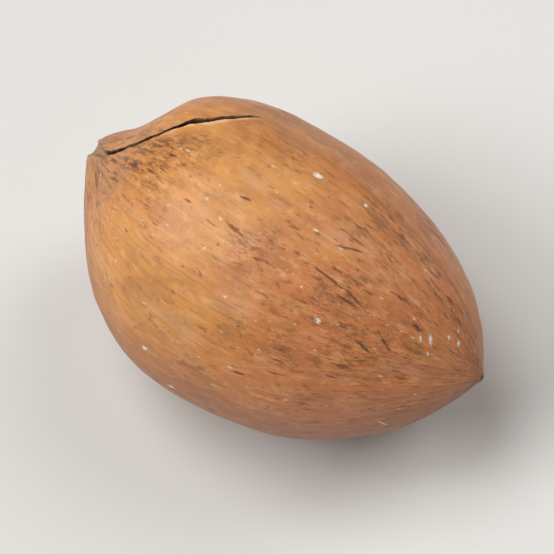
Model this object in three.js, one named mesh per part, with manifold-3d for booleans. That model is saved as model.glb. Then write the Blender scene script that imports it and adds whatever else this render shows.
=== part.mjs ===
// A pecan in its shell: one whole nut lying on its side, with the shell split along its suture at one tip.
//
// Millimetres, +Z up. The nut's long axis runs along X, from the split tip at -X to the closed tip at +X,
// and the nut rests on a small flat spot at z = 0, under the middle of its bounding box.
//
// The form is worked out in the nut's own frame first: x along the nut, y out through the upper suture edge
// and z out through the front cheek. The nut is then leaned over about X, as it lies at rest.

import * as THREE from "three";
import { mergeVertices } from "three/addons/utils/BufferGeometryUtils.js";
import Module from "manifold-3d";

// The nut.
const NUT_LENGTH = 41; // tip to tip
const SUTURE_WIDTH = 26.9; // across the two suture edges, where the nut is fullest
const CHEEK_WIDTH = 26.5; // across the two rounded cheeks, at right angles to the suture
const FULLEST_AT = 0.415; // where the fullest section is, as a share of the length from the split tip
const ROUNDNESS = 2.25; // how long the nut stays full before it narrows to a tip
const SHOULDER_ROUNDNESS = 3; // the same where the nut is fullest before the closed tip
const SHOULDER_TURN = THREE.MathUtils.degToRad(209); // where that is, from the upper suture edge
const POINTEDNESS = 0.8; // 0.5 would give rounded ends and 1 gives cones
const BELLY_DROP = 2; // how far the middle of the nut hangs below the line from tip to tip

// The saddle in the upper suture edge, just behind the split tip.
const SADDLE_DEPTH = 1.9;
const SADDLE_AT = 0.082; // share of the length
const SADDLE_SPREAD = 0.06; // share of the length
const SADDLE_NARROWNESS = 1.5; // higher keeps the saddle closer to the suture edge

// The crack, which starts as a notch across the tip, runs along the suture and closes.
const CRACK_END = 0.335; // share of the length
const CRACK_SWING = THREE.MathUtils.degToRad(55); // how far round the front cheek the crack starts
const CRACK_SWING_END = 0.37; // share of the length at which the crack's line is back on the suture
const CRACK_DEPTH = 1.9; // below the surface
const CRACK_DEPTH_AT_TIP = 1;
const CRACK_DEEP_FROM = 0.1; // share of the length
const CRACK_GAP = 0.5; // before it closes towards its end
const CRACK_GAP_AT_END = 0.15;
const NOTCH_GAP = 1.1; // what the notch adds to the crack's gap, at the tip
const NOTCH_SPREAD = 0.045; // share of the length
const CRACK_OVERSHOOT = 1.2; // how far the cutting blade stands clear of the shell

// How the nut lies.
const LEAN = THREE.MathUtils.degToRad(34); // of the upper suture edge, from straight up towards +Y
const REST_SPOT_DEPTH = 0.3; // how much of the round belly the flat rest spot takes away

// Facets.
const FACETS_AROUND = 56;
const FACETS_ALONG = 46;
const FACETS_ALONG_CRACK = 20;
const WELD_TOLERANCE = 1e-4;

const SHELL_TAN = 0xc08453;

// How near a direction round the nut is to another, from 0 on the opposite side to 1.
function nearness(turn, other) {
  return (1 + Math.cos(turn - other)) / 2;
}

// How the nut narrows towards a tip: 1 at the fullest section and 0 at the tip.
function narrowing(fromFullest, roundness) {
  return Math.max(0, 1 - fromFullest ** roundness) ** POINTEDNESS;
}

// How far out the shell stands in one direction, as a share of how far it does at the fullest section.
function fullness(share, turn) {
  if (share > FULLEST_AT) {
    const shoulder = nearness(turn, SHOULDER_TURN);
    const roundness = THREE.MathUtils.lerp(ROUNDNESS, SHOULDER_ROUNDNESS, shoulder);
    return narrowing((share - FULLEST_AT) / (1 - FULLEST_AT), roundness);
  }
  const along = Math.exp(-(((share - SADDLE_AT) / SADDLE_SPREAD) ** 2));
  const around = nearness(turn, 0) ** SADDLE_NARROWNESS;
  const saddle = (SADDLE_DEPTH / (SUTURE_WIDTH / 2)) * along * around;
  return Math.max(0, narrowing((FULLEST_AT - share) / FULLEST_AT, ROUNDNESS) - saddle);
}

// Where the middle of a section is. The belly hangs away from the upper suture edge.
function sectionCentre(share) {
  const within = THREE.MathUtils.clamp(share, 0, 1);
  return new THREE.Vector3(
    (share - 0.5) * NUT_LENGTH,
    -BELLY_DROP * Math.sin(Math.PI * within),
    0,
  );
}

// From a section's middle to the shell's surface. A turn of 0 is the upper suture edge, and a quarter turn
// is the front cheek.
function reach(share, turn) {
  const full = fullness(share, turn);
  return new THREE.Vector3(
    0,
    full * (SUTURE_WIDTH / 2) * Math.cos(turn),
    full * (CHEEK_WIDTH / 2) * Math.sin(turn),
  );
}

// A sphere's facets, with its poles drawn out into the nut's two tips.
function nutForm() {
  const geometry = new THREE.SphereGeometry(1, FACETS_AROUND, FACETS_ALONG);
  const position = geometry.getAttribute("position");
  const onSphere = new THREE.Vector3();
  for (let i = 0; i < position.count; i++) {
    onSphere.fromBufferAttribute(position, i);
    const share = Math.acos(THREE.MathUtils.clamp(-onSphere.y, -1, 1)) / Math.PI;
    const turn = Math.atan2(onSphere.x, onSphere.z);
    const point = sectionCentre(share).add(reach(share, turn));
    position.setXYZ(i, point.x, point.y, point.z);
  }
  return geometry;
}

// How wide the crack is, at a share of the length.
function crackGap(share) {
  const closing = Math.sqrt(1 - share / CRACK_END);
  const notch = Math.exp(-((share / NOTCH_SPREAD) ** 2));
  return THREE.MathUtils.lerp(CRACK_GAP_AT_END, CRACK_GAP, closing) + NOTCH_GAP * notch;
}

// How deep the crack goes below the surface, at a share of the length.
function crackDepth(share) {
  const deep = THREE.MathUtils.smoothstep(share, 0, CRACK_DEEP_FROM);
  return THREE.MathUtils.lerp(CRACK_DEPTH_AT_TIP, CRACK_DEPTH, deep);
}

// A long box, bent and tapered into the blade that cuts the crack.
function crackBlade() {
  const geometry = new THREE.BoxGeometry(1, 1, 1, FACETS_ALONG_CRACK, 1, 1);
  const position = geometry.getAttribute("position");
  const start = -CRACK_OVERSHOOT / NUT_LENGTH;
  for (let i = 0; i < position.count; i++) {
    const share = THREE.MathUtils.lerp(start, CRACK_END, position.getX(i) + 0.5);
    const within = Math.max(0, share);
    const turn = CRACK_SWING * (1 - THREE.MathUtils.smoothstep(share, 0, CRACK_SWING_END));
    const out = new THREE.Vector3(0, Math.cos(turn), Math.sin(turn));
    const across = new THREE.Vector3(0, -Math.sin(turn), Math.cos(turn));
    const beyond = position.getY(i) > 0 ? CRACK_OVERSHOOT : -crackDepth(within);
    const side = Math.sign(position.getZ(i)) * (crackGap(within) / 2);
    const point = sectionCentre(share)
      .add(reach(within, turn))
      .addScaledVector(out, beyond)
      .addScaledVector(across, side);
    position.setXYZ(i, point.x, point.y, point.z);
  }
  return geometry;
}

const wasm = await Module();
wasm.setup();

// A closed three.js geometry as a solid that can be cut.
function solidOf(geometry) {
  const bare = geometry.clone();
  bare.deleteAttribute("normal");
  bare.deleteAttribute("uv");
  const merged = mergeVertices(bare, WELD_TOLERANCE);
  return new wasm.Manifold(
    new wasm.Mesh({
      numProp: 3,
      vertProperties: merged.getAttribute("position").array,
      triVerts: new Uint32Array(merged.index.array),
    }),
  );
}

function geometryOf(solid) {
  const mesh = solid.getMesh();
  const geometry = new THREE.BufferGeometry();
  geometry.setAttribute("position", new THREE.BufferAttribute(mesh.vertProperties, 3));
  geometry.setIndex(new THREE.BufferAttribute(mesh.triVerts, 1));
  return geometry;
}

// The nut with its crack, leaned over as it lies, with the flat spot that it rests on.
function restingNut() {
  const cracked = geometryOf(solidOf(nutForm()).subtract(solidOf(crackBlade())));
  cracked.rotateX(Math.PI / 2 - LEAN);
  cracked.computeBoundingBox();
  const floorSide = NUT_LENGTH * 2;
  const floorTop = cracked.boundingBox.min.z + REST_SPOT_DEPTH;
  const floor = new THREE.BoxGeometry(floorSide, floorSide, floorSide);
  floor.translate(0, 0, floorTop - floorSide / 2);
  const geometry = geometryOf(solidOf(cracked).subtract(solidOf(floor)));
  geometry.computeVertexNormals();
  geometry.computeBoundingBox();
  return geometry;
}

function pecan() {
  const shell = new THREE.MeshStandardMaterial({
    color: SHELL_TAN,
    roughness: 0.5,
    metalness: 0,
  });
  const nut = new THREE.Mesh(restingNut(), shell);
  nut.name = "pecan_nut";
  const { min, max } = nut.geometry.boundingBox;
  nut.position.set(-(min.x + max.x) / 2, -(min.y + max.y) / 2, -min.z);
  return new THREE.Group().add(nut);
}

export default pecan();
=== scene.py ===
"""A pecan in its shell, lying on its side, with the shell cracked along its suture at one tip.

Metres, +Z up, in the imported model's own frame. The nut is one piece. Its form is worked out from the
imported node's box, its surface is raised and pitted, the crack is cut out of it, and it has two finishes:
the roasted outside of the shell, and the broken shell inside the crack.
"""

import logging
import math
from dataclasses import dataclass
from enum import Enum, IntEnum, StrEnum

import bmesh
import bpy
import numpy as np
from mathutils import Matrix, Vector, noise
from mathutils.bvhtree import BVHTree
from mathutils.kdtree import KDTree


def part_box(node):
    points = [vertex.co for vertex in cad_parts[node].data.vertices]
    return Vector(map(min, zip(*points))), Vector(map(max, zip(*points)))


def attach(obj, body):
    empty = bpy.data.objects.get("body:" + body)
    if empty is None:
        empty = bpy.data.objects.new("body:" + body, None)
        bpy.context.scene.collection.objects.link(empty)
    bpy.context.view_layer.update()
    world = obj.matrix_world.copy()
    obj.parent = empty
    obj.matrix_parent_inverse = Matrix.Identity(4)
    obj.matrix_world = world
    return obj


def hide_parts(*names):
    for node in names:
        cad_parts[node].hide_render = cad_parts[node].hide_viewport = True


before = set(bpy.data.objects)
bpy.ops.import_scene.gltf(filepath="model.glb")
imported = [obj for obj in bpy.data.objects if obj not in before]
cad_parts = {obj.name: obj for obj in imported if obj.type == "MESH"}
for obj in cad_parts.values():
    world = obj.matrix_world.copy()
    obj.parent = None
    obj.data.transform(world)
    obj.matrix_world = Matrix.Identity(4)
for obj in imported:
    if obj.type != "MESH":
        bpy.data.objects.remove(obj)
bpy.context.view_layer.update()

MM = 0.001
NODE = "pecan_nut"
BODY = "root"
LOG = logging.getLogger("pecan")

Array = np.ndarray
Size = tuple[float, float, float]
# Where a smooth step starts and ends, or where the middle of a hump is and how far it spreads.
Span = tuple[float, float]


# ---------- Helpers ----------


class Finish(IntEnum):
    """Which of the nut's two finishes a face has."""

    OUTSIDE = 0
    BROKEN = 1


class Kind(Enum):
    """The kinds of node that the finishes use."""

    ATTRIBUTE = "ShaderNodeAttribute"
    PLACE = "ShaderNodeTexCoord"
    SPREAD = "ShaderNodeMapping"
    VECTOR = "ShaderNodeVectorMath"
    CLOUD = "ShaderNodeTexNoise"
    CELLS = "ShaderNodeTexVoronoi"
    NEARNESS = "ShaderNodeTexGradient"
    MATH = "ShaderNodeMath"
    RANGE = "ShaderNodeMapRange"
    MIX = "ShaderNodeMix"
    BUMP = "ShaderNodeBump"
    SHADER = "ShaderNodeBsdfPrincipled"
    OUTPUT = "ShaderNodeOutputMaterial"
    LIGHT_PATH = "ShaderNodeLightPath"
    BACKGROUND = "ShaderNodeBackground"
    WORLD = "ShaderNodeOutputWorld"


class Note(StrEnum):
    """What is noted on each of the nut's vertices, for its finishes to read."""

    TONE = "tone"
    CROWD = "crowd"
    VEINED = "veined"
    # Darker where the fine relief sinks in.
    DIRT = "dirt"
    # A painted highlight along the crack's lip.
    LIP = "lip"
    # Painted shade on the underside.
    STAINED = "stained"
    LOW = "low"
    SPLIT_TIP = "split_tip"
    CLOSED_TIP = "closed_tip"
    DEPTH = "depth"
    GRAIN = "grain"
    CHEEK = "cheek"


class Paint(IntEnum):
    """Where a Mix node that mixes colours keeps its sockets."""

    SHARE = 0
    UNDER = 6
    OVER = 7
    RESULT = 2


def linear(code: str) -> tuple[float, float, float, float]:
    """Turns an sRGB hex colour into a linear one.

    Args:
        code: the colour, such as "#c98a55".

    Returns:
        Red, green, blue and an alpha of 1.
    """
    shares = [int(code[i : i + 2], 16) / 255 for i in (1, 3, 5)]
    red, green, blue = (s / 12.92 if s <= 0.04045 else ((s + 0.055) / 1.055) ** 2.4 for s in shares)
    return red, green, blue, 1.0


def add(
    tree: bpy.types.NodeTree, kind: Kind, inputs: dict | None = None, **settings: object
) -> bpy.types.Node:
    """Adds one node, with its settings, values and links.

    Args:
        tree: the node tree that it goes into.
        kind: what kind of node it is.
        inputs: what its inputs get, by name or place: a value, another node's output, or another node,
            which stands for its first output.
        **settings: the node's own settings.

    Returns:
        The node.
    """
    node = tree.nodes.new(kind.value)
    for name, value in settings.items():
        setattr(node, name, value)
    for name, value in (inputs or {}).items():
        if isinstance(value, bpy.types.Node):
            value = value.outputs[0]
        if isinstance(value, bpy.types.NodeSocket):
            tree.links.new(value, node.inputs[name])
        else:
            node.inputs[name].default_value = value
    return node


def new_material(name: str) -> bpy.types.Material:
    """Makes an empty node material of that name."""
    material = bpy.data.materials.new(name)
    material.use_nodes = True
    material.node_tree.nodes.clear()
    return material


def put(name: str, data: bpy.types.ID) -> bpy.types.Object:
    """Puts an object with that name and data into the scene."""
    thing = bpy.data.objects.new(name, data)
    bpy.context.scene.collection.objects.link(thing)
    return thing


def rows(mesh: bpy.types.Mesh, name: str) -> Array:
    """One vector of each of a mesh's vertices, such as "co" or "normal", one row each."""
    values = np.empty(len(mesh.vertices) * 3)
    mesh.vertices.foreach_get(name, values)
    return values.reshape(-1, 3)


def rise(low: float, high: float, value: Array) -> Array:
    """A smooth step from 0 where value is low to 1 where it is high."""
    t = np.clip((value - low) / (high - low), 0.0, 1.0)
    return t * t * (3.0 - 2.0 * t)


def hump(value: Array, middle: float, spread: float) -> Array:
    """A smooth hump of height 1 round a middle value."""
    return np.exp(-(((value - middle) / spread) ** 2))


@dataclass(frozen=True)
class Cloud:
    """Smooth noise, which is the same each time.

    It has lumps of a height and of a size along each axis, and octaves of them, each half the size of the
    one before. Start says which part of the noise is used, so that no two clouds look alike.
    """

    height: float
    size: Size
    octaves: int
    start: float

    def at(self, points: Array) -> Array:
        """Its height at each point, mostly from -height to height."""
        spots = (points / np.array(self.size) + self.start).tolist()
        return self.height * np.array([noise.fractal(spot, 1.0, 2.0, self.octaves) for spot in spots])


# ---------- The nut's form ----------


@dataclass(frozen=True)
class NutForm:
    """The nut's smooth form, and where it lies. Its ratios are to its length.

    A point on it is given by its share of the length, from 0 at the split tip to 1 at the closed tip, and
    by its turn round the nut: 0 is the upper suture edge and a quarter turn is the front cheek.
    """

    low: Vector
    high: Vector
    notch_loss: float = 0.168 * MM
    suture_ratio: float = 26.9 / 41
    cheek_ratio: float = 26.5 / 41
    drop_ratio: float = 2.0 / 41
    fullest_at: float = 0.415
    roundness: float = 2.25
    shoulder_roundness: float = 3.0
    shoulder_turn: float = math.radians(209)
    pointedness: float = 0.8
    saddle_ratio: float = 1.9 / 41
    saddle_at: float = 0.082
    saddle_spread: float = 0.06
    saddle_narrowness: float = 1.5
    lean: float = math.radians(34)
    spot_depth: float = 0.3 * MM
    box_steps: int = 400
    arc_steps: int = 4001

    @property
    def length(self) -> float:
        """The length from tip to tip, with the point that the notch took away."""
        return self.high.x - self.low.x + self.notch_loss

    @property
    def suture_reach(self) -> float:
        """Half the width across the suture edges."""
        return self.length * self.suture_ratio / 2

    @property
    def cheek_reach(self) -> float:
        """Half the width across the cheeks."""
        return self.length * self.cheek_ratio / 2

    @property
    def radius(self) -> float:
        """The fullest section's mean radius."""
        return (self.suture_reach + self.cheek_reach) / 2

    def fullness(self, share: Array, turn: Array) -> Array:
        """How far out the shell stands, as a share of how far it does at the fullest section."""
        closed = share > self.fullest_at
        to_closed = (share - self.fullest_at) / (1 - self.fullest_at)
        to_split = (self.fullest_at - share) / self.fullest_at
        shoulder = (1 + np.cos(turn - self.shoulder_turn)) / 2
        round_closed = self.roundness + (self.shoulder_roundness - self.roundness) * shoulder
        away = np.where(closed, to_closed, to_split)
        power = np.where(closed, round_closed, self.roundness)
        full = np.clip(1 - np.abs(away) ** power, 0, None) ** self.pointedness
        depth = self.saddle_ratio * self.length / self.suture_reach
        around = ((1 + np.cos(turn)) / 2) ** self.saddle_narrowness
        saddle = depth * hump(share, self.saddle_at, self.saddle_spread) * around
        return np.clip(full - np.where(closed, 0, saddle), 0, None)

    def own_points(
        self, share: Array, turn: Array, out: Array | float = 0.0, across: Array | float = 0.0
    ) -> Array:
        """Points in the nut's own frame: along it, and towards its upper suture edge and its front cheek.

        Args:
            share: the share of the length. Outside 0 to 1 it is past a tip, on the axis.
            turn: the turn round the nut.
            out: how far outside the surface, away from the section's middle.
            across: how far round the nut, square to that.

        Returns:
            One row for each point.
        """
        within = np.clip(share, 0, 1)
        full = self.fullness(within, turn)
        cos, sin = np.cos(turn), np.sin(turn)
        along = (share - 0.5) * self.length
        middle = -self.length * self.drop_ratio * np.sin(np.pi * within)
        upward = middle + (full * self.suture_reach + out) * cos - across * sin
        forward = (full * self.cheek_reach + out) * sin + across * cos
        return np.stack([along, upward, forward], axis=-1)

    def lay(self, own: Array) -> Array:
        """Leans points of the nut's own frame over, as the nut lies."""
        along, upward, forward = own[..., 0], own[..., 1], own[..., 2]
        cos, sin = math.cos(self.lean), math.sin(self.lean)
        return np.stack([along, upward * sin - forward * cos, upward * cos + forward * sin], axis=-1)

    def move(self) -> Array:
        """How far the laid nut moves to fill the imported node's box, with its rest spot at the bottom."""
        shares = np.linspace(0, 1, self.box_steps)
        turns = np.linspace(-np.pi, np.pi, self.box_steps)
        laid = self.lay(self.own_points(*np.meshgrid(shares, turns))).reshape(-1, 3)
        to_high = np.array(self.high) - laid.max(axis=0)
        return np.array([to_high[0], to_high[1], self.low.z - self.spot_depth - laid[:, 2].min()])

    def arc_table(self) -> tuple[Array, Array]:
        """Shares of the length, and how far along the front cheek each is from the split tip."""
        share = np.linspace(0, 1, self.arc_steps)
        own = self.own_points(share, np.full_like(share, np.pi / 2))
        steps = np.linalg.norm(np.diff(own, axis=0), axis=1)
        return share, np.concatenate([[0.0], np.cumsum(steps)])

    def share_by_arc(self, part: Array) -> Array:
        """The share of the length at a part of the way along the surface, from tip to tip."""
        share, walked = self.arc_table()
        return np.interp(part, walked / walked[-1], share)

    def arc(self, share: Array) -> Array:
        """How far along the surface a share of the length is from the split tip."""
        return np.interp(share, *self.arc_table())

    def grain(self, share: Array, turn: Array) -> Array:
        """Places along the shell's grain, in millimetres: how far along it, and two that go round it."""
        radius = self.radius / MM
        return np.stack([self.arc(share) / MM, radius * np.cos(turn), radius * np.sin(turn)], axis=-1)

    def cheek(self, share: Array, turn: Array) -> Array:
        """Places on the shell in millimetres: along it, and round it from the upper suture edge."""
        around = turn * self.fullness(share, turn) * self.radius / MM
        return np.stack([self.arc(share) / MM, around, np.zeros_like(around)], axis=-1)


# ---------- The crack ----------


@dataclass(frozen=True)
class Crack:
    """The crack: a notch across the split tip, which runs on to the suture, along it, and closes.

    Where it ends, comes back to the suture and gets deep are shares of the length.
    """

    form: NutForm
    end: float = 0.335
    swing: float = math.radians(55)
    swing_end: float = 0.37
    depth: float = 1.9 * MM
    depth_at_tip: float = 1.0 * MM
    deep_from: float = 0.1
    notch_gap: float = 1.2 * MM
    notch_spread: float = 0.045
    overshoot: float = 1.2 * MM
    thinnest: float = 0.03 * MM
    # Past the crack's end, over how much of the length its line settles on the suture.
    settles_over: float = 0.05
    # How the crack's line jogs, how ragged its sides are, and how far apart these are in that noise.
    jog: Cloud = Cloud(0.12 * MM, (1.1 * MM,) * 3, 3, 3.7)
    ragged: Cloud = Cloud(0.1 * MM, (0.5 * MM,) * 3, 3, 5.3)
    rows_apart: float = 1.5 * MM
    sides_apart: float = 3.0 * MM
    steps: int = 280
    # Where the line strays from its even curve: shares of the length, and how far towards the front cheek.
    bend_at: tuple[float, ...] = (0.0, 0.13, 0.175, 0.225, 0.26, 0.295, 0.335)
    bends: tuple[float, ...] = (0.0, -0.25 * MM, 0.1 * MM, -0.4 * MM, 0.25 * MM, 0.2 * MM, -0.7 * MM)
    # Those bends are softened: in how many steps they are drawn, and over how many each is spread.
    bend_steps: int = 200
    softening: int = 13
    # How wide the crack is along its line: shares of the length, and the gap there.
    gap_at: tuple[float, ...] = (0.0, 0.1, 0.19, 0.225, 0.25, 0.27, 0.3, 0.32, 0.335)
    gaps: tuple[float, ...] = tuple(
        gap * MM for gap in (0.45, 0.36, 0.42, 0.76, 0.72, 0.56, 0.64, 0.6, 0.2)
    )
    # The blade's section: how far down each row is, from -1 clear of the shell to 1 at its edge, and how wide
    # the crack is there, as a share of its gap.
    blade: tuple[tuple[float, float], ...] = (
        (-1.0, 1.7),
        (-0.16, 1.3),
        (0.0, 1.15),
        (0.08, 1.0),
        (0.25, 0.94),
        (0.55, 0.8),
        (0.85, 0.6),
        (1.0, 0.3),
    )

    def turn(self, share: Array) -> Array:
        """How far round the nut the crack's even curve is, at a share of the length."""
        return self.swing * (1 - rise(0, self.swing_end, share))

    def bend(self, share: Array) -> Array:
        """How far the crack strays from its even curve, towards the front cheek."""
        fine = np.linspace(0, self.end, self.bend_steps)
        curve = np.pad(np.interp(fine, self.bend_at, self.bends), self.softening // 2, mode="edge")
        window = np.hanning(self.softening)
        return np.interp(share, fine, np.convolve(curve, window / window.sum(), mode="valid"))

    def half_gap(self, share: Array) -> Array:
        """Half the crack's width at the surface."""
        gap = np.interp(share, self.gap_at, self.gaps)
        return (gap + self.notch_gap * hump(share, 0.0, self.notch_spread)) / 2

    def away(self, share: Array, turn: Array) -> Array:
        """How far round the nut a point is from the crack's line, or past its end from the suture.

        Args:
            share: the point's share of the length.
            turn: its turn round the nut.

        Returns:
            The distance, above 0 on the front cheek's side.
        """
        apart = (turn - self.turn(share) + np.pi) % (2 * np.pi) - np.pi
        before_end = 1 - rise(self.end, self.end + self.settles_over, share)
        return apart * self.form.fullness(share, turn) * self.form.radius - self.bend(share) * before_end

    def sections(self) -> Array:
        """The ragged blade's sections, one for each step along the crack, as rings of points."""
        share = np.linspace(-self.overshoot / self.form.length, self.end, self.steps)
        within = np.clip(share, 0, 1)
        depth = self.depth_at_tip + (self.depth - self.depth_at_tip) * rise(0, self.deep_from, within)
        path = np.stack([share * self.form.length] + [np.zeros_like(share)] * 2, axis=-1)
        line = self.bend(within) + self.jog.at(path)
        rings = []
        for side in (1, -1):
            for down, width in self.blade[::side]:
                lip = path + np.array([0, down * self.rows_apart, side * self.sides_apart])
                half = np.maximum(self.half_gap(within) * width + self.ragged.at(lip), self.thinnest)
                out = -down * (depth if down > 0 else self.overshoot)
                own = self.form.own_points(share, self.turn(share), out, line + side * half)
                rings.append(self.form.lay(own) + self.form.move())
        return np.stack(rings, axis=1)

    def cutter(self, materials: list[bpy.types.Material]) -> bpy.types.Object:
        """Builds the blade that cuts the crack out of the nut.

        Args:
            materials: the nut's two finishes, in the order of Finish.

        Returns:
            The blade, which is removed once it has cut.
        """
        points = self.sections()
        steps, count = points.shape[:2]
        starts = range(0, (steps - 1) * count, count)
        first = [(i + j, i + (j + 1) % count) for i in starts for j in range(count)]
        faces = [[a, b, b + count, a + count] for a, b in first]
        faces += [list(range(count)), list(range((steps - 1) * count, steps * count))]
        mesh = bpy.data.meshes.new("crack_blade")
        mesh.from_pydata(points.reshape(-1, 3).tolist(), [], faces)
        bm = bmesh.new()
        bm.from_mesh(mesh)
        bmesh.ops.recalc_face_normals(bm, faces=bm.faces[:])
        bmesh.ops.triangulate(bm, faces=bm.faces[:])
        for face in bm.faces:
            face.material_index = Finish.BROKEN
        bm.to_mesh(mesh)
        bm.free()
        for material in materials:
            mesh.materials.append(material)
        return put("crack_blade", mesh)


# ---------- The nut ----------


@dataclass(frozen=True)
class Bulge:
    """One bulge or hollow: its share of the length, its turn in degrees, its reach, and its height."""

    share: float
    turn: float
    reach: float
    height: float


@dataclass(frozen=True)
class Relief:
    """What stands up from the nut's smooth form and what sinks into it.

    Lumps, dents and roughness are laid over the form in metres. Ribs, leather and pits are laid along the
    grain, whose places are in millimetres, so that they are longer along the nut than round it.
    """

    lumps: Cloud = Cloud(0.24 * MM, (13 * MM,) * 3, 2, 20.0)
    bulges: tuple[Bulge, ...] = (
        Bulge(0.9, 135, 5 * MM, 0.34 * MM),
        Bulge(0.87, -10, 4 * MM, 0.24 * MM),
        Bulge(0.38, -35, 5 * MM, -0.2 * MM),
        Bulge(0.6, 125, 6 * MM, -0.16 * MM),
    )
    dents: Cloud = Cloud(0.07 * MM, (4.2 * MM,) * 3, 3, 7.3)
    ribs: Cloud = Cloud(0.045 * MM, (9.0, 1.5, 1.5), 2, 2.2)
    leather: Cloud = Cloud(0.03 * MM, (1.6, 0.9, 0.9), 2, 8.8)
    # Pits are where one cloud is high, in the parts of the nut where another is.
    pit_depth: float = 0.06 * MM
    pits: Cloud = Cloud(1.0, (2.4, 0.75, 0.75), 2, 12.7)
    pits_show: Span = (0.3, 0.62)
    pitted: Cloud = Cloud(1.0, (7 * MM,) * 3, 1, 15.2)
    pitted_shows: Span = (-0.25, 0.35)
    # The sutures: a low keel with a fine broken groove on it. They fade out towards the closed tip.
    keel: float = 0.14 * MM
    keel_width: float = 1.2 * MM
    keel_starts: Span = (0.02, 0.1)
    groove: float = 0.08 * MM
    groove_width: float = 0.3 * MM
    groove_breaks: Cloud = Cloud(0.6, (2.0, 2.0, 2.0), 2, 4.4)
    suture_fades: Span = (0.9, 0.99)
    # The lips of the crack, and past the crack's end, where the suture is whole again.
    lip: float = 0.08 * MM
    lip_width: float = 0.8 * MM
    whole_past_end: Span = (-0.02, 0.06)
    # Both tips are ridged and rough, and the closed one ends in a small point.
    tip_size: float = 3.2 * MM
    tip_ridge: float = 0.12 * MM
    tip_ridges: int = 4
    tip_roughness: Cloud = Cloud(0.1 * MM, (0.9 * MM,) * 3, 3, 6.1)
    nipple: float = 0.2 * MM
    nipple_width: float = 0.7 * MM
    nipple_from: Span = (0.9, 1.0)


@dataclass(frozen=True)
class Wear:
    """Where the shell's colours and marks are.

    A span is of the share of the length, unless its name says that it is something else. Seam is how far a
    point is from the crack or the upper suture, and under is how far it is from the lower one, both in mm.
    """

    # From yellow at 0 to pink at 1: yellower and paler on the front cheek near the split tip, which is a
    # painted pool of light, and pinker towards the closed tip and underneath.
    tone: float = 0.62
    # Painted light: the tone goes paler and yellower where the light falls on the front cheek.
    painted_light: float = -0.5
    painted_light_along: Span = (0.28, 0.3)
    painted_light_side: Span = (-0.3, 0.9)
    painted_light_turn: float = 0.35
    closed_tone: float = 0.25
    closed_along: Span = (0.45, 0.9)
    under_tone: float = 0.2
    under_side: Span = (0.2, 0.9)
    broad_tone: Cloud = Cloud(0.34, (12.0, 9.0, 9.0), 2, 21.0)
    small_tone: Cloud = Cloud(0.26, (4.0, 3.0, 3.0), 2, 25.0)
    # How much marks crowd: at the split tip, on the front cheek's far half, by the sutures and in patches.
    split_crowd: float = 0.11
    split_along: Span = (0.06, 0.24)
    cheek_crowd: float = 0.055
    cheek_along: Span = (0.4, 0.74)
    cheek_turn: float = 0.9
    cheek_evenness: float = 0.55
    seam_crowd: float = 0.05
    seam_beside: Span = (1.2, 1.3)
    seam_along: Span = (0.5, 0.65)
    under_crowd: float = 0.03
    under_beside: Span = (0.0, 1.6)
    patch_crowd: float = 0.07
    patches: Cloud = Cloud(1.0, (6.0, 4.5, 4.5), 1, 31.0)
    # Veins and creases are in those patches, and over the shoulder before the closed tip.
    veins_show: Span = (0.05, 0.5)
    vein_shoulder: float = 0.9
    vein_along: Span = (0.78, 0.13)
    vein_turn: Span = (0.95, 0.5)
    vein_loss: float = 0.1
    # Two stains fan out from the crack over the front cheek, one close to it and one further out: where they
    # start, how fast each leaves it in mm for the whole length, and how far from it and how wide it starts.
    stains_from: float = 0.13
    stains: tuple[tuple[float, Span], ...] = ((25.0, (0.4, 1.2)), (45.0, (1.2, 1.4)))
    stains_start: Span = (0.1, 0.15)
    stains_end: Span = (0.22, 0.31)
    # The lip of the crack is painted pale, a painted highlight, up to a ragged edge.
    lip_highlight_starts: Span = (0.17, 0.22)
    lip_highlight_ends: Span = (0.31, 0.35)
    lip_highlight_from_seam: Span = (0.1, 0.3)
    lip_width: float = 0.55
    lip_highlight_raggedness: Cloud = Cloud(0.5, (1.5, 0.8, 0.8), 3, 40.0)
    lip_highlight_fades: Span = (-0.15, 0.25)
    # The shell is darker where the fine relief sinks in this deep, in mm. The underside is darker, a painted
    # shade, and the tips are darker.
    sunken_dark_depth: Span = (0.012, 0.085)
    painted_shade_under: Span = (0.05, 0.85)
    split_tip: Span = (0.12, 0.75)
    closed_tip: Span = (0.5, 0.9)


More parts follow.
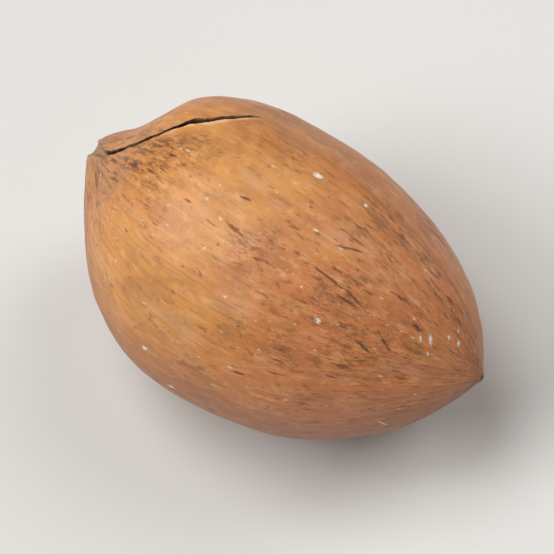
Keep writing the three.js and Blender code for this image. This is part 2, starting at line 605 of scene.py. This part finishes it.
@dataclass
class PecanNut:
    """The whole nut: its skin, its crack and what its finishes need to know.

    The skin is made from a cube with a number of cells along each edge. An edge that bends by more than the
    angle "sharp", as at the lips of the crack, is drawn sharp.
    """

    form: NutForm
    crack: Crack
    relief: Relief
    wear: Wear
    cells: int = 118
    sharp: float = math.radians(50)

    def skin(self) -> tuple[bpy.types.Mesh, Array, Array, Array]:
        """Builds the closed skin of the nut, before it is cracked.

        Returns:
            The mesh, and for each vertex its share of the length, its turn and its fine relief's height.
        """
        r = self.relief
        bm = bmesh.new()
        bmesh.ops.create_cube(bm, size=2.0)
        bmesh.ops.subdivide_edges(bm, edges=bm.edges[:], cuts=self.cells - 1, use_grid_fill=True)
        mesh = bpy.data.meshes.new(NODE + "_skin")
        bm.to_mesh(mesh)
        bm.free()
        # The cube's faces are drawn out over a ball with even cells, and the ball into the nut.
        ball = np.tan(rows(mesh, "co") * np.pi / 4)
        ball /= np.linalg.norm(ball, axis=1, keepdims=True)
        share = self.form.share_by_arc(np.arccos(np.clip(-ball[:, 0], -1, 1)) / np.pi)
        turn = np.arctan2(ball[:, 2], ball[:, 1])
        smooth = self.form.lay(self.form.own_points(share, turn)) + self.form.move()
        mesh.vertices.foreach_set("co", smooth.ravel())
        mesh.update()
        broad, fine = self.heights(smooth, share, turn)
        points = smooth + rows(mesh, "normal") * (broad + fine)[:, None]
        from_axis = np.linalg.norm((smooth - smooth[np.argmax(smooth[:, 0])])[:, 1:], axis=1)
        points[:, 0] += r.nipple * hump(from_axis, 0, r.nipple_width) * rise(*r.nipple_from, share)
        points[:, 2] = np.maximum(points[:, 2], self.form.low.z)
        mesh.vertices.foreach_set("co", points.ravel())
        mesh.update()
        return mesh, share, turn, fine

    def near_tips(self, share: Array, turn: Array) -> tuple[Array, Array]:
        """How near each point is to the split tip and to the closed tip, from 0 to 1."""
        from_axis = self.form.fullness(share, turn) * self.form.radius
        from_split = np.hypot(share * self.form.length, from_axis)
        from_closed = np.hypot((1 - share) * self.form.length, from_axis)
        size = self.relief.tip_size
        return np.exp(-from_split / size), np.exp(-from_closed / size)

    def past_crack(self, share: Array) -> Array:
        """0 where the suture is cracked and 1 where it is whole."""
        starts, full = self.relief.whole_past_end
        return rise(self.crack.end + starts, self.crack.end + full, share)

    def under_suture(self, share: Array, turn: Array) -> Array:
        """How far each point is from the lower suture edge."""
        return (np.pi - np.abs(turn)) * self.form.fullness(share, turn) * self.form.radius

    def heights(self, smooth: Array, share: Array, turn: Array) -> tuple[Array, Array]:
        """The heights of the nut's relief.

        Args:
            smooth: the points on the smooth form.
            share: their shares of the length.
            turn: their turns round the nut.

        Returns:
            Each point's height by its lumps, keels, lips and tip ridges, and by its dents, ribs, pits,
            roughness and suture lines.
        """
        r = self.relief
        grain = self.form.grain(share, turn)
        near_tips = sum(self.near_tips(share, turn))
        upper = self.crack.away(share, turn)
        lower = self.under_suture(share, turn)
        whole = self.past_crack(share)
        fade = 1 - rise(*r.suture_fades, share)
        broad = r.lumps.at(smooth)
        for bulge in r.bulges:
            middle = self.form.own_points(np.array([bulge.share]), np.array([math.radians(bulge.turn)]))
            away = np.linalg.norm(smooth - self.form.lay(middle) - self.form.move(), axis=1)
            broad += bulge.height * hump(away, 0, bulge.reach)
        broad += r.tip_ridge * np.cos(r.tip_ridges * turn) * near_tips
        broad += r.keel * hump(upper, 0, r.keel_width) * whole * fade
        broad += r.keel * hump(lower, 0, r.keel_width) * fade * rise(*r.keel_starts, share)
        broad += r.lip * hump(upper, 0, r.lip_width) * (1 - whole)
        broken = 1 + r.groove_breaks.at(grain)
        fine = -r.groove * hump(upper, 0, r.groove_width) * whole * fade * broken
        fine -= r.groove * hump(lower, 0, r.groove_width) * fade * broken
        fine += r.dents.at(smooth)
        fine += r.ribs.at(grain)
        fine += r.leather.at(grain)
        fine += r.tip_roughness.at(smooth) * near_tips
        pits = rise(*r.pits_show, r.pits.at(grain))
        fine -= r.pit_depth * pits * rise(*r.pitted_shows, r.pitted.at(smooth))
        return broad, fine

    def build(self, materials: list[bpy.types.Material]) -> bpy.types.Object:
        """Builds the nut.

        Args:
            materials: its finishes, in the order of Finish.

        Returns:
            The nut, in its place.
        """
        skin, share, turn, fine = self.skin()
        for material in materials:
            skin.materials.append(material)
        uncracked = put(NODE + "_skin", skin)
        blade = self.crack.cutter(materials)
        cut = uncracked.modifiers.new("crack", "BOOLEAN")
        cut.operation = "DIFFERENCE"
        cut.solver = "MANIFOLD"
        cut.object = blade
        bpy.context.view_layer.update()
        cracked = uncracked.evaluated_get(bpy.context.evaluated_depsgraph_get())
        mesh = bpy.data.meshes.new_from_object(cracked)
        mesh.name = "whole_pecan"
        self.note_places(mesh, skin, share, turn, fine)
        mesh.shade_smooth()
        mesh.set_sharp_from_angle(angle=self.sharp)
        nut = put("whole_pecan", mesh)
        for helper in (uncracked, blade):
            data = helper.data
            bpy.data.objects.remove(helper)
            bpy.data.meshes.remove(data)
        return nut

    def note_places(
        self, mesh: bpy.types.Mesh, skin: bpy.types.Mesh, share: Array, turn: Array, fine: Array
    ) -> None:
        """Writes on each vertex of the cracked nut what its finishes need to know.

        Args:
            mesh: the cracked nut.
            skin: the skin before it was cracked.
            share: the share of the length of each of the skin's vertices.
            turn: their turns round the nut.
            fine: the heights of their fine relief.
        """
        points = rows(mesh, "co")
        tree = KDTree(len(skin.vertices))
        for vertex in skin.vertices:
            tree.insert(vertex.co, vertex.index)
        tree.balance()
        nearest = np.array([tree.find(point)[1] for point in points.tolist()])
        share, turn, fine = share[nearest], turn[nearest], fine[nearest]
        surface = BVHTree.FromPolygons([v.co for v in skin.vertices], [p.vertices for p in skin.polygons])
        depth = np.zeros(len(points))
        broken = {i for p in mesh.polygons if p.material_index == Finish.BROKEN for i in p.vertices}
        for i in broken:
            depth[i] = surface.find_nearest(points[i])[3] / MM
        places = self.places(share, turn, fine) | {Note.DEPTH: depth}
        for name, value in places.items():
            attribute = mesh.attributes.new(name, "FLOAT", "POINT")
            attribute.data.foreach_set("value", value.astype(np.float32))
        vectors = {Note.GRAIN: self.form.grain(share, turn), Note.CHEEK: self.form.cheek(share, turn)}
        for name, value in vectors.items():
            attribute = mesh.attributes.new(name, "FLOAT_VECTOR", "POINT")
            attribute.data.foreach_set("vector", value.astype(np.float32).ravel())

    def places(self, share: Array, turn: Array, fine: Array) -> dict[Note, Array]:
        """Where the shell's colours and marks are, from 0 to 1.

        Args:
            share: the share of the length of each vertex.
            turn: its turn round the nut.
            fine: the height of its fine relief.

        Returns:
            The values for each vertex, by what they say.
        """
        w = self.wear
        grain = self.form.grain(share, turn)
        seam = self.crack.away(share, turn) / MM
        under = self.under_suture(share, turn) / MM
        near_split, near_closed = self.near_tips(share, turn)
        patchy = w.patches.at(grain)
        # A painted pool of light: paler and yellower on the front cheek near the split tip.
        painted_light = hump(share, *w.painted_light_along) * rise(*w.painted_light_side, np.sin(turn + w.painted_light_turn))
        closed = w.closed_tone * rise(*w.closed_along, share)
        tone = w.tone + w.painted_light * painted_light + closed + w.under_tone * rise(*w.under_side, -np.cos(turn))
        tone += w.broad_tone.at(grain) + w.small_tone.at(grain)
        facing = w.cheek_evenness + (1 - w.cheek_evenness) * np.cos(turn - w.cheek_turn)
        crowds = (
            (w.split_crowd, 1 - rise(*w.split_along, share)),
            (w.cheek_crowd, rise(*w.cheek_along, share) * facing),
            (w.seam_crowd, hump(seam, *w.seam_beside) * rise(*w.seam_along, share)),
            (w.under_crowd, hump(under, *w.under_beside)),
            (w.patch_crowd, patchy),
        )
        shoulder = w.vein_shoulder * hump(share, *w.vein_along) * hump(turn, *w.vein_turn)
        past = share - w.stains_from
        beside = np.max([hump(seam - leaves * past, *width) for leaves, width in w.stains], axis=0)
        highlight_edge = w.lip_width + w.lip_highlight_raggedness.at(grain)
        highlight_inner, highlight_outer = w.lip_highlight_fades
        # A painted highlight along the crack's lip.
        lip = rise(*w.lip_highlight_starts, share) * (1 - rise(*w.lip_highlight_ends, share)) * rise(*w.lip_highlight_from_seam, seam)
        return {
            Note.TONE: np.clip(tone, 0, 1),
            Note.CROWD: sum(much * where for much, where in crowds),
            Note.VEINED: rise(*w.veins_show, patchy + shoulder - w.vein_loss),
            Note.DIRT: rise(*w.sunken_dark_depth, -fine / MM),
            Note.LIP: lip * (1 - rise(highlight_edge + highlight_inner, highlight_edge + highlight_outer, seam)),
            Note.STAINED: rise(*w.stains_start, share) * (1 - rise(*w.stains_end, share)) * beside,
            # Painted shade: darker on the underside.
            Note.LOW: rise(*w.painted_shade_under, -np.cos(turn)),
            Note.SPLIT_TIP: rise(*w.split_tip, near_split),
            Note.CLOSED_TIP: rise(*w.closed_tip, near_closed),
        }


# ---------- The finishes ----------


class Pattern(Enum):
    """The patterns that marks on the shell are drawn with."""

    CLOUDY = "soft patches"
    VEINED = "thin wandering lines, broken here and there"
    CREASED = "the edges of bent cells"
    SPECKLED = "round specks, one at most to a cell"


@dataclass(frozen=True)
class Mark:
    """One kind of mark that is all over the shell.

    Its size is in millimetres, along and round the nut. "Shows" gives the pattern's values where it starts
    to show and where it is full, and crowd is how much the crowded places add to them.
    """

    pattern: Pattern
    colour: str
    along: float
    around: float
    shows: Span
    strength: float
    crowd: float = 0.0
    place: Note | None = None
    detail: float = 3.0
    coarseness: float = 0.55
    height: float = 0.0
    roughness: float = 0.0


@dataclass(frozen=True)
class Wash:
    """A colour that is laid over one place on the shell."""

    place: Note
    colour: str
    strength: float


@dataclass(frozen=True)
class Spot:
    """One mark with a place of its own on the front cheek, in millimetres along and round the shell."""

    along: float
    around: float
    length: float
    width: float
    tilt: float = 0.0


@dataclass(frozen=True)
class Spots:
    """Marks of one kind that have places of their own.

    Grit is how coarse their raggedness is, in millimetres along and round the nut.
    """

    colour: str
    strength: float
    height: float
    roughness: float
    grit: Size
    places: tuple[Spot, ...]


@dataclass
class Layers:
    """A finish's look as marks are laid on it, one over another: values, or the nodes that give them.

    Each mark is laid as soon as it is drawn, so that few values wait at any time, because the renderer has
    room for only so many.
    """

    tree: bpy.types.NodeTree
    colour: object
    roughness: object = 0.0
    height: object = 0.0

    def lay(self, share: bpy.types.Node, code: str, stands: float = 0.0, rougher: float = 0.0) -> None:
        """Lays one mark over the rest.

        Args:
            share: the node that says how strongly the mark shows.
            code: its colour.
            stands: how high it stands, as a share of the deepest bump.
            rougher: how much it adds to the roughness.
        """
        paint = {Paint.SHARE: share, Paint.UNDER: self.colour, Paint.OVER: linear(code)}
        self.colour = add(self.tree, Kind.MIX, paint, data_type="RGBA").outputs[Paint.RESULT]
        if stands:
            raised = {0: share, 1: stands, 2: self.height}
            self.height = add(self.tree, Kind.MATH, raised, operation="MULTIPLY_ADD")
        if rougher:
            dulled = {0: share, 1: rougher, 2: self.roughness}
            self.roughness = add(self.tree, Kind.MATH, dulled, operation="MULTIPLY_ADD")


@dataclass(frozen=True)
class RoastedShell:
    """Roasted pecan shell: hard woody tissue, dried and tumbled until it is smooth.

    It gives the eye a satin tan skin, yellower on the front cheek, where a pool of light is painted in, and
    pinker towards the closed tip, with fine streaks and short dark dashes along the nut, brown specks, faint
    creases, a few pale flecks, partly painted glints, and red brown stains beside the crack.
    """

    pale: str = "#da954d"
    tan: str = "#ca7d41"
    rose: str = "#ca7b4e"
    tan_at: float = 0.5
    roughness: float = 0.47
    index: float = 1.5
    sheen: float = 0.05
    sheen_roughness: float = 0.45
    bump: float = 0.07 * MM
    # How far apart the marks are in their noise, so that no two look alike.
    pattern_step: float = 7.3
    # Veins break where a finer noise, this much finer, is high. Creases and specks are bent by noise.
    vein_breaks: float = 0.12
    vein_break_fineness: float = 2.3
    crease_sway: float = 1.2
    speck_sway: float = 0.6
    speck_sway_fineness: float = 2.0
    # Marks that have places of their own, in halves of their size: how ragged they are, where they end and
    # where they are full, and how far out their nearness is worked out.
    ragged: float = 1.5
    spot_edge: float = 1.25
    spot_core: float = 0.4
    reach: float = 4.0
    wash_roughness: float = 0.05
    washes: tuple[Wash, ...] = (
        # Darker where the fine relief sinks in.
        Wash(Note.DIRT, "#a0683f", 0.5),
        # Painted highlight along the crack's lip.
        Wash(Note.LIP, "#ecc493", 0.75),
        # Painted shade: the underside darkened.
        Wash(Note.LOW, "#7c4c36", 0.48),
        Wash(Note.SPLIT_TIP, "#b8947a", 0.6),
        Wash(Note.CLOSED_TIP, "#a98160", 0.45),
    )
    marks: tuple[Mark, ...] = (
        # Fibres of the shell: streaks half a millimetre wide and about a centimetre long.
        Mark(Pattern.CLOUDY, "#a1683c", 9.0, 0.55, (0.45, 0.8), 0.5, detail=4.0, height=0.4),
        Mark(Pattern.CLOUDY, "#ebb170", 6.0, 0.45, (0.5, 0.78), 0.52, detail=5.0, height=0.2),
        # Mottling, 1 to 3 mm across.
        Mark(Pattern.CLOUDY, "#99673a", 2.6, 1.4, (0.46, 0.74), 0.56, detail=5.0, coarseness=0.7),
        Mark(
            Pattern.CLOUDY, "#e9b27c", 1.7, 0.9, (0.49, 0.72), 0.62,
            detail=6.0, coarseness=0.74, roughness=0.1,
        ),
        # Soft brown blotches, about 1 mm across.
        Mark(Pattern.CLOUDY, "#84552e", 1.5, 0.8, (0.58, 0.71), 0.64, 0.8, detail=5.0, coarseness=0.65),
        # Leathery creases, in cells of 1 to 2 mm.
        Mark(Pattern.CREASED, "#8f5a33", 2.0, 1.2, (0.1, 0.0), 0.35, place=Note.VEINED, height=-0.3),
        # Scuffs, where tumbling has rubbed the skin grey.
        Mark(Pattern.CLOUDY, "#cda382", 5.5, 3.6, (0.54, 0.74), 0.4, detail=5.0, roughness=0.14),
        # Thin dark veins.
        Mark(Pattern.VEINED, "#704424", 3.4, 1.0, (0.085, 0.045), 0.6, place=Note.VEINED, height=-0.5),
        # Stains where damp got in at the crack: feathery and red brown.
        Mark(
            Pattern.CLOUDY, "#733d22", 1.3, 0.5, (0.43, 0.58), 0.8,
            place=Note.STAINED, detail=5.0, coarseness=0.72,
        ),
        # Dark dashes, a third of a millimetre wide and 1 to 3 mm long.
        Mark(Pattern.CLOUDY, "#5f361d", 1.7, 0.42, (0.66, 0.76), 0.66, 1.0, height=-0.5),
        Mark(Pattern.CLOUDY, "#7b4a2a", 1.1, 0.34, (0.64, 0.76), 0.55, 0.8, height=-0.3),
        # Brown specks, up to a third of a millimetre across.
        Mark(Pattern.SPECKLED, "#5b351e", 1.1, 0.7, (0.66, 0.8), 0.6, 0.6, height=-0.4),
        Mark(Pattern.SPECKLED, "#8f5a35", 0.6, 0.4, (0.55, 0.75), 0.45),
        # Pale flecks: chips and salt on the skin, partly painted glints.
        Mark(Pattern.SPECKLED, "#f4d5ad", 0.9, 0.6, (0.62, 0.76), 0.65, height=0.3),
    )
    # The larger dashes, which are sunk into the shell.
    dashes: Spots = Spots(
        colour="#5b3018",
        strength=0.78,
        height=-0.6,
        roughness=0.1,
        grit=(0.8, 0.17, 0.17),
        places=(
            Spot(8.4, 5.9, 2.4, 0.3, 43),
            Spot(12.3, 8.4, 2.4, 0.38, 29),
            Spot(10.5, 9.1, 2.6, 0.28, 37),
            Spot(14.7, 9.4, 1.5, 0.26, 28),
            Spot(15.8, 7.6, 0.9, 0.26, 12),
            Spot(6.7, 7.5, 4.8, 0.26, 53),
            Spot(24.5, 11.4, 2.0, 0.4, 6),
            Spot(19.8, 11.3, 0.9, 0.28),
            Spot(23.9, 8.6, 0.9, 0.28, -16),
            Spot(36.5, 9.0, 2.9, 0.3, -5),
            Spot(33.6, 9.5, 3.4, 0.26, -9),
            Spot(35.9, 9.7, 2.6, 0.28, -19),
            Spot(40.0, 5.4, 2.0, 0.3, -23),
            Spot(42.8, 5.5, 1.5, 0.34, -20),
            Spot(39.4, 11.1, 1.6, 0.32, -14),
            Spot(38.6, 14.0, 2.2, 0.34, -39),
            Spot(40.9, 9.1, 2.0, 0.28, 2),
            Spot(33.1, 18.4, 1.4, 0.32, -21),
            Spot(30.4, 22.2, 1.6, 0.3, -27),
            Spot(33.6, 6.3, 2.6, 0.25, -32),
        ),
    )
    # The larger flecks: chips and salt on the skin, partly painted glints.
    flecks: Spots = Spots(
        colour="#fdebd6",
        strength=0.9,
        height=1.0,
        roughness=-0.1,
        grit=(0.24, 0.2, 0.2),
        places=(
            Spot(27.5, 2.4, 1.0, 0.7),
            Spot(32.3, 1.6, 0.5, 0.35),
            Spot(34.7, 12.9, 0.6, 0.5),
            Spot(44.6, 4.8, 0.9, 0.55, 30),
            Spot(43.7, 5.7, 0.6, 0.3, 20),
            Spot(45.1, 5.7, 0.4, 0.3),
            Spot(47.3, 2.1, 0.6, 0.4),
            Spot(46.4, 1.7, 0.4, 0.25),
            Spot(46.1, 2.9, 0.5, 0.35),
            Spot(21.4, 26.5, 0.8, 0.6),
            Spot(24.3, 30.4, 0.7, 0.5),
            Spot(43.5, 16.2, 0.9, 0.35),
        ),
    )

    def draw_mark(self, tree: bpy.types.NodeTree, mark: Mark, start: float) -> bpy.types.Node:
        """Draws one kind of mark.

        Args:
            tree: the material's node tree.
            mark: the mark.
            start: which part of the pattern is used, so that two marks don't look alike.

        Returns:
            The node that says how strongly the mark shows.
        """
        grain = add(tree, Kind.ATTRIBUTE, attribute_name=Note.GRAIN).outputs["Vector"]
        scale = (1 / mark.along, 1 / mark.around, 1 / mark.around)
        spread = add(tree, Kind.SPREAD, {"Vector": grain, "Location": (start,) * 3, "Scale": scale})
        look = {"Vector": spread, "Scale": 1.0, "Detail": mark.detail, "Roughness": mark.coarseness}
        match mark.pattern:
            case Pattern.CLOUDY:
                value = add(tree, Kind.CLOUD, look)
            case Pattern.VEINED:
                patches = add(tree, Kind.CLOUD, look)
                centred = add(tree, Kind.MATH, {0: patches, 1: 0.5}, operation="SUBTRACT")
                line = add(tree, Kind.MATH, {0: centred}, operation="ABSOLUTE")
                finer = {"Vector": spread, "Scale": self.vein_break_fineness, "Detail": 2.0}
                breaks = {0: add(tree, Kind.CLOUD, finer), 1: self.vein_breaks, 2: line}
                value = add(tree, Kind.MATH, breaks, operation="MULTIPLY_ADD")
            case Pattern.CREASED:
                sway = add(tree, Kind.CLOUD, look).outputs["Color"]
                bend = {0: sway, 1: (self.crease_sway,) * 3, 2: spread}
                bent = add(tree, Kind.VECTOR, bend, operation="MULTIPLY_ADD")
                value = add(tree, Kind.CELLS, {"Vector": bent, "Scale": 1.0}, feature="DISTANCE_TO_EDGE")
            case Pattern.SPECKLED:
                finer = {"Vector": spread, "Scale": self.speck_sway_fineness}
                sway = add(tree, Kind.CLOUD, finer).outputs["Color"]
                bend = {0: sway, 1: (self.speck_sway,) * 3, 2: spread}
                bent = add(tree, Kind.VECTOR, bend, operation="MULTIPLY_ADD")
                cells = add(tree, Kind.CELLS, {"Vector": bent, "Scale": 1.0}).outputs
                inside = {0: cells["Color"], 1: cells["Distance"]}
                value = add(tree, Kind.MATH, inside, operation="SUBTRACT")
        if mark.crowd:
            crowd = add(tree, Kind.ATTRIBUTE, attribute_name=Note.CROWD).outputs["Fac"]
            value = add(tree, Kind.MATH, {0: crowd, 1: mark.crowd, 2: value}, operation="MULTIPLY_ADD")
        starts, full = mark.shows
        ends = {"Value": value, "From Min": starts, "From Max": full, "To Max": mark.strength}
        shown = add(tree, Kind.RANGE, ends, interpolation_type="SMOOTHSTEP")
        if mark.place:
            place = add(tree, Kind.ATTRIBUTE, attribute_name=mark.place).outputs["Fac"]
            shown = add(tree, Kind.MATH, {0: shown, 1: place}, operation="MULTIPLY")
        return shown

    def draw_spots(self, tree: bpy.types.NodeTree, spots: Spots) -> bpy.types.Node:
        """Draws the marks that have places of their own, with ragged edges and gaps.

        Args:
            tree: the material's node tree.
            spots: the marks.

        Returns:
            The node that says how strongly they show at each place.
        """
        cheek = add(tree, Kind.ATTRIBUTE, attribute_name=Note.CHEEK).outputs["Vector"]
        grain = add(tree, Kind.ATTRIBUTE, attribute_name=Note.GRAIN).outputs["Vector"]
        grains = add(tree, Kind.VECTOR, {0: grain, 1: spots.grit}, operation="DIVIDE")
        sway = add(tree, Kind.CLOUD, {"Vector": grains, "Scale": 1.0, "Detail": 4.0, "Roughness": 0.6})
        nearest = None
        for spot in spots.places:
            own = {
                "Vector": cheek,
                "Location": (spot.along, spot.around, 0),
                "Rotation": (0, 0, math.radians(spot.tilt)),
                "Scale": (self.reach * spot.length / 2, self.reach * spot.width / 2, 1),
            }
            spread = add(tree, Kind.SPREAD, own, vector_type="TEXTURE")
            near = add(tree, Kind.NEARNESS, {"Vector": spread}, gradient_type="SPHERICAL").outputs["Fac"]
            if nearest is None:
                nearest = near
            else:
                nearest = add(tree, Kind.MATH, {0: nearest, 1: near}, operation="MAXIMUM")
        ragged = {0: sway, 1: -2 * self.ragged / self.reach, 2: nearest}
        edge, core = (1 - (size + self.ragged) / self.reach for size in (self.spot_edge, self.spot_core))
        ends = {"From Min": edge, "From Max": core, "To Max": spots.strength}
        value = add(tree, Kind.MATH, ragged, operation="MULTIPLY_ADD")
        return add(tree, Kind.RANGE, {"Value": value} | ends, interpolation_type="SMOOTHSTEP")

    def material(self) -> bpy.types.Material:
        """Makes the material."""
        material = new_material("roasted_pecan_shell")
        tree = material.node_tree
        layers = Layers(tree, linear(self.pale), self.roughness)
        tone = add(tree, Kind.ATTRIBUTE, attribute_name=Note.TONE).outputs["Fac"]
        layers.lay(add(tree, Kind.RANGE, {"Value": tone, "From Max": self.tan_at}), self.tan)
        layers.lay(add(tree, Kind.RANGE, {"Value": tone, "From Min": self.tan_at}), self.rose)
        for i, mark in enumerate(self.marks):
            shown = self.draw_mark(tree, mark, self.pattern_step * i)
            layers.lay(shown, mark.colour, mark.height, mark.roughness)
        for wash in self.washes:
            place = add(tree, Kind.ATTRIBUTE, attribute_name=wash.place).outputs["Fac"]
            share = add(tree, Kind.MATH, {0: place, 1: wash.strength}, operation="MULTIPLY")
            layers.lay(share, wash.colour, rougher=self.wash_roughness)
        # The flecks are partly painted glints.
        for spots in (self.dashes, self.flecks):
            layers.lay(self.draw_spots(tree, spots), spots.colour, spots.height, spots.roughness)
        normal = add(tree, Kind.BUMP, {"Height": layers.height, "Distance": self.bump, "Strength": 1.0})
        look = {
            "Base Color": layers.colour,
            "Roughness": layers.roughness,
            "IOR": self.index,
            "Sheen Weight": self.sheen,
            "Sheen Roughness": self.sheen_roughness,
            "Normal": normal,
        }
        add(tree, Kind.OUTPUT, {"Surface": add(tree, Kind.SHADER, look)})
        return material


@dataclass(frozen=True)
class BrokenShell:
    """Broken pecan shell: the wall of the crack, where the woody tissue has torn.

    It gives the eye a dull, fibrous surface, buff at the outer edge, grey brown in the notch at the tip
    and dark red brown deep down, going near black at the bottom: dark tissue with painted shade.
    """

    edge: str = "#b98c60"
    wall: str = "#5a3119"
    # Near black: the dark tissue inside, with painted shade of the hollow behind the crack.
    deep: str = "#28130a"
    cork: str = "#ab8763"
    roughness: float = 0.85
    index: float = 1.5
    fibre: float = 0.35 * MM
    fibre_detail: float = 4.0
    fibre_coarseness: float = 0.65
    bump: float = 0.1 * MM
    # How deep in mm the wall's brown and the near black, partly painted shade, are, how much the fibres blur
    # that, how near the tip the wall is corky, and which of the fibres are dark.
    wall_depth: Span = (0.2, 0.5)
    deep_depth: Span = (0.45, 1.2)
    depth_blur: float = 0.5
    corky: Span = (0.05, 0.4)
    dark_fibres: Span = (0.52, 0.85)

    def material(self) -> bpy.types.Material:
        """Makes the material."""
        material = new_material("broken_pecan_shell")
        tree = material.node_tree
        place = add(tree, Kind.PLACE).outputs["Object"]
        look = {"Scale": 1 / self.fibre, "Detail": self.fibre_detail, "Roughness": self.fibre_coarseness}
        fibres = add(tree, Kind.CLOUD, {"Vector": place} | look)
        depth = add(tree, Kind.ATTRIBUTE, attribute_name=Note.DEPTH).outputs["Fac"]
        ragged = add(tree, Kind.MATH, {0: fibres, 1: self.depth_blur, 2: depth}, operation="MULTIPLY_ADD")
        tip = add(tree, Kind.ATTRIBUTE, attribute_name=Note.SPLIT_TIP).outputs["Fac"]
        steps = (
            (ragged, self.wall_depth, self.wall),
            (ragged, self.deep_depth, self.deep),
            (tip, self.corky, self.cork),
            (fibres, self.dark_fibres, self.wall),
        )
        layers = Layers(tree, linear(self.edge))
        for value, (starts, full), code in steps:
            ends = {"Value": value, "From Min": starts, "From Max": full}
            layers.lay(add(tree, Kind.RANGE, ends, interpolation_type="SMOOTHSTEP"), code)
        normal = add(tree, Kind.BUMP, {"Height": fibres, "Distance": self.bump, "Strength": 1.0})
        finish = {"Roughness": self.roughness, "IOR": self.index, "Normal": normal}
        shader = add(tree, Kind.SHADER, finish | {"Base Color": layers.colour})
        add(tree, Kind.OUTPUT, {"Surface": shader})
        return material


@dataclass(frozen=True)
class PaintedFloor:
    """A floor board in matt white paint, rolled on. It gives the eye a plain, pale, even ground."""

    paint: str = "#e0dfdc"
    shade: str = "#dbd9d5"
    roughness: float = 0.7
    patch: float = 120 * MM

    def material(self) -> bpy.types.Material:
        """Makes the material."""
        material = new_material("matt_white_paint")
        tree = material.node_tree
        place = add(tree, Kind.PLACE).outputs["Object"]
        patches = add(tree, Kind.CLOUD, {"Vector": place, "Scale": 1 / self.patch, "Detail": 2.0})
        layers = Layers(tree, linear(self.paint))
        layers.lay(patches, self.shade)
        shader = add(tree, Kind.SHADER, {"Base Color": layers.colour, "Roughness": self.roughness})
        add(tree, Kind.OUTPUT, {"Surface": shader})
        return material


# ---------- The studio ----------


class Lamp(Enum):
    """The studio's wide, far-off white lamps: azimuth and elevation in degrees, and strength."""

    KEY = (320, 45, 1.63)
    TOP = (280, 68, 1.35)
    BACK = (160, 52, 0.88)


def towards(azimuth: float, elevation: float) -> Vector:
    """The direction at an azimuth, from -Y round by +X, and an elevation, both in degrees."""
    turn, lift = math.radians(azimuth), math.radians(elevation)
    return Vector((math.sin(turn) * math.cos(lift), -math.cos(turn) * math.cos(lift), math.sin(lift)))


@dataclass
class Studio:
    """The floor, the lights and the camera."""

    low: Vector
    high: Vector
    floor_side: float = 8.0
    azimuth: float = 33.4
    elevation: float = 64.0
    distance: float = 300 * MM
    view_width: float = 49.0 * MM
    sensor: float = 36.0
    clip_start: float = 10 * MM
    clip_end: float = 32.0
    softness: float = math.radians(32)
    surround: str = "#ebeae8"
    shade_light: float = 0.1

    @property
    def centre(self) -> Vector:
        """The middle of the nut's box."""
        return (self.low + self.high) / 2

    def floor(self, material: bpy.types.Material) -> bpy.types.Object:
        """Lays the floor under the nut's rest spot."""
        bm = bmesh.new()
        bmesh.ops.create_grid(bm, x_segments=4, y_segments=4, size=self.floor_side / 2)
        mesh = bpy.data.meshes.new("floor")
        bm.to_mesh(mesh)
        bm.free()
        mesh.materials.append(material)
        floor = put("floor", mesh)
        floor.location.z = self.low.z
        return floor

    def lights(self) -> None:
        """Hangs the lamps, and sets the pale surround and the weak light that it gives."""
        for lamp in Lamp:
            azimuth, elevation, strength = lamp.value
            light = bpy.data.lights.new(lamp.name.lower(), "SUN")
            light.energy = strength
            light.angle = self.softness
            hung = put(lamp.name.lower(), light)
            direction = towards(azimuth, elevation)
            hung.location = self.centre + direction
            hung.rotation_euler = direction.to_track_quat("Z", "Y").to_euler()
        world = bpy.data.worlds.new("studio")
        world.use_nodes = True
        tree = world.node_tree
        tree.nodes.clear()
        seen = add(tree, Kind.LIGHT_PATH).outputs["Is Camera Ray"]
        strength = add(tree, Kind.RANGE, {"Value": seen, "To Min": self.shade_light})
        sky = add(tree, Kind.BACKGROUND, {"Color": linear(self.surround), "Strength": strength})
        add(tree, Kind.WORLD, {"Surface": sky})
        bpy.context.scene.world = world

    def camera(self) -> bpy.types.Object:
        """Sets up the camera, with a long lens."""
        data = bpy.data.cameras.new("camera")
        data.sensor_width = self.sensor
        data.lens = self.sensor * self.distance / self.view_width
        data.clip_start = self.clip_start
        data.clip_end = self.clip_end
        camera = put("camera", data)
        back = towards(self.azimuth, self.elevation)
        camera.location = self.centre + back * self.distance
        camera.rotation_euler = back.to_track_quat("Z", "Y").to_euler()
        bpy.context.scene.camera = camera
        bpy.context.scene.view_settings.view_transform = "Standard"
        return camera


def main() -> None:
    """Builds the studio and the nut, and reports each piece."""
    logging.basicConfig(level=logging.INFO, format="%(name)s: %(message)s")
    low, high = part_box(NODE)
    studio = Studio(low, high)
    studio.camera()
    studio.lights()
    studio.floor(PaintedFloor().material())
    LOG.info("the studio is set")

    form = NutForm(low, high)
    finishes = [RoastedShell().material(), BrokenShell().material()]
    nut = PecanNut(form, Crack(form), Relief(), Wear()).build(finishes)
    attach(nut, BODY)
    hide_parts(NODE)
    broken = sum(p.material_index == Finish.BROKEN for p in nut.data.polygons)
    LOG.info("%s: %d faces, %d of them broken shell", nut.name, len(nut.data.polygons), broken)


if __name__ == "__main__":
    main()
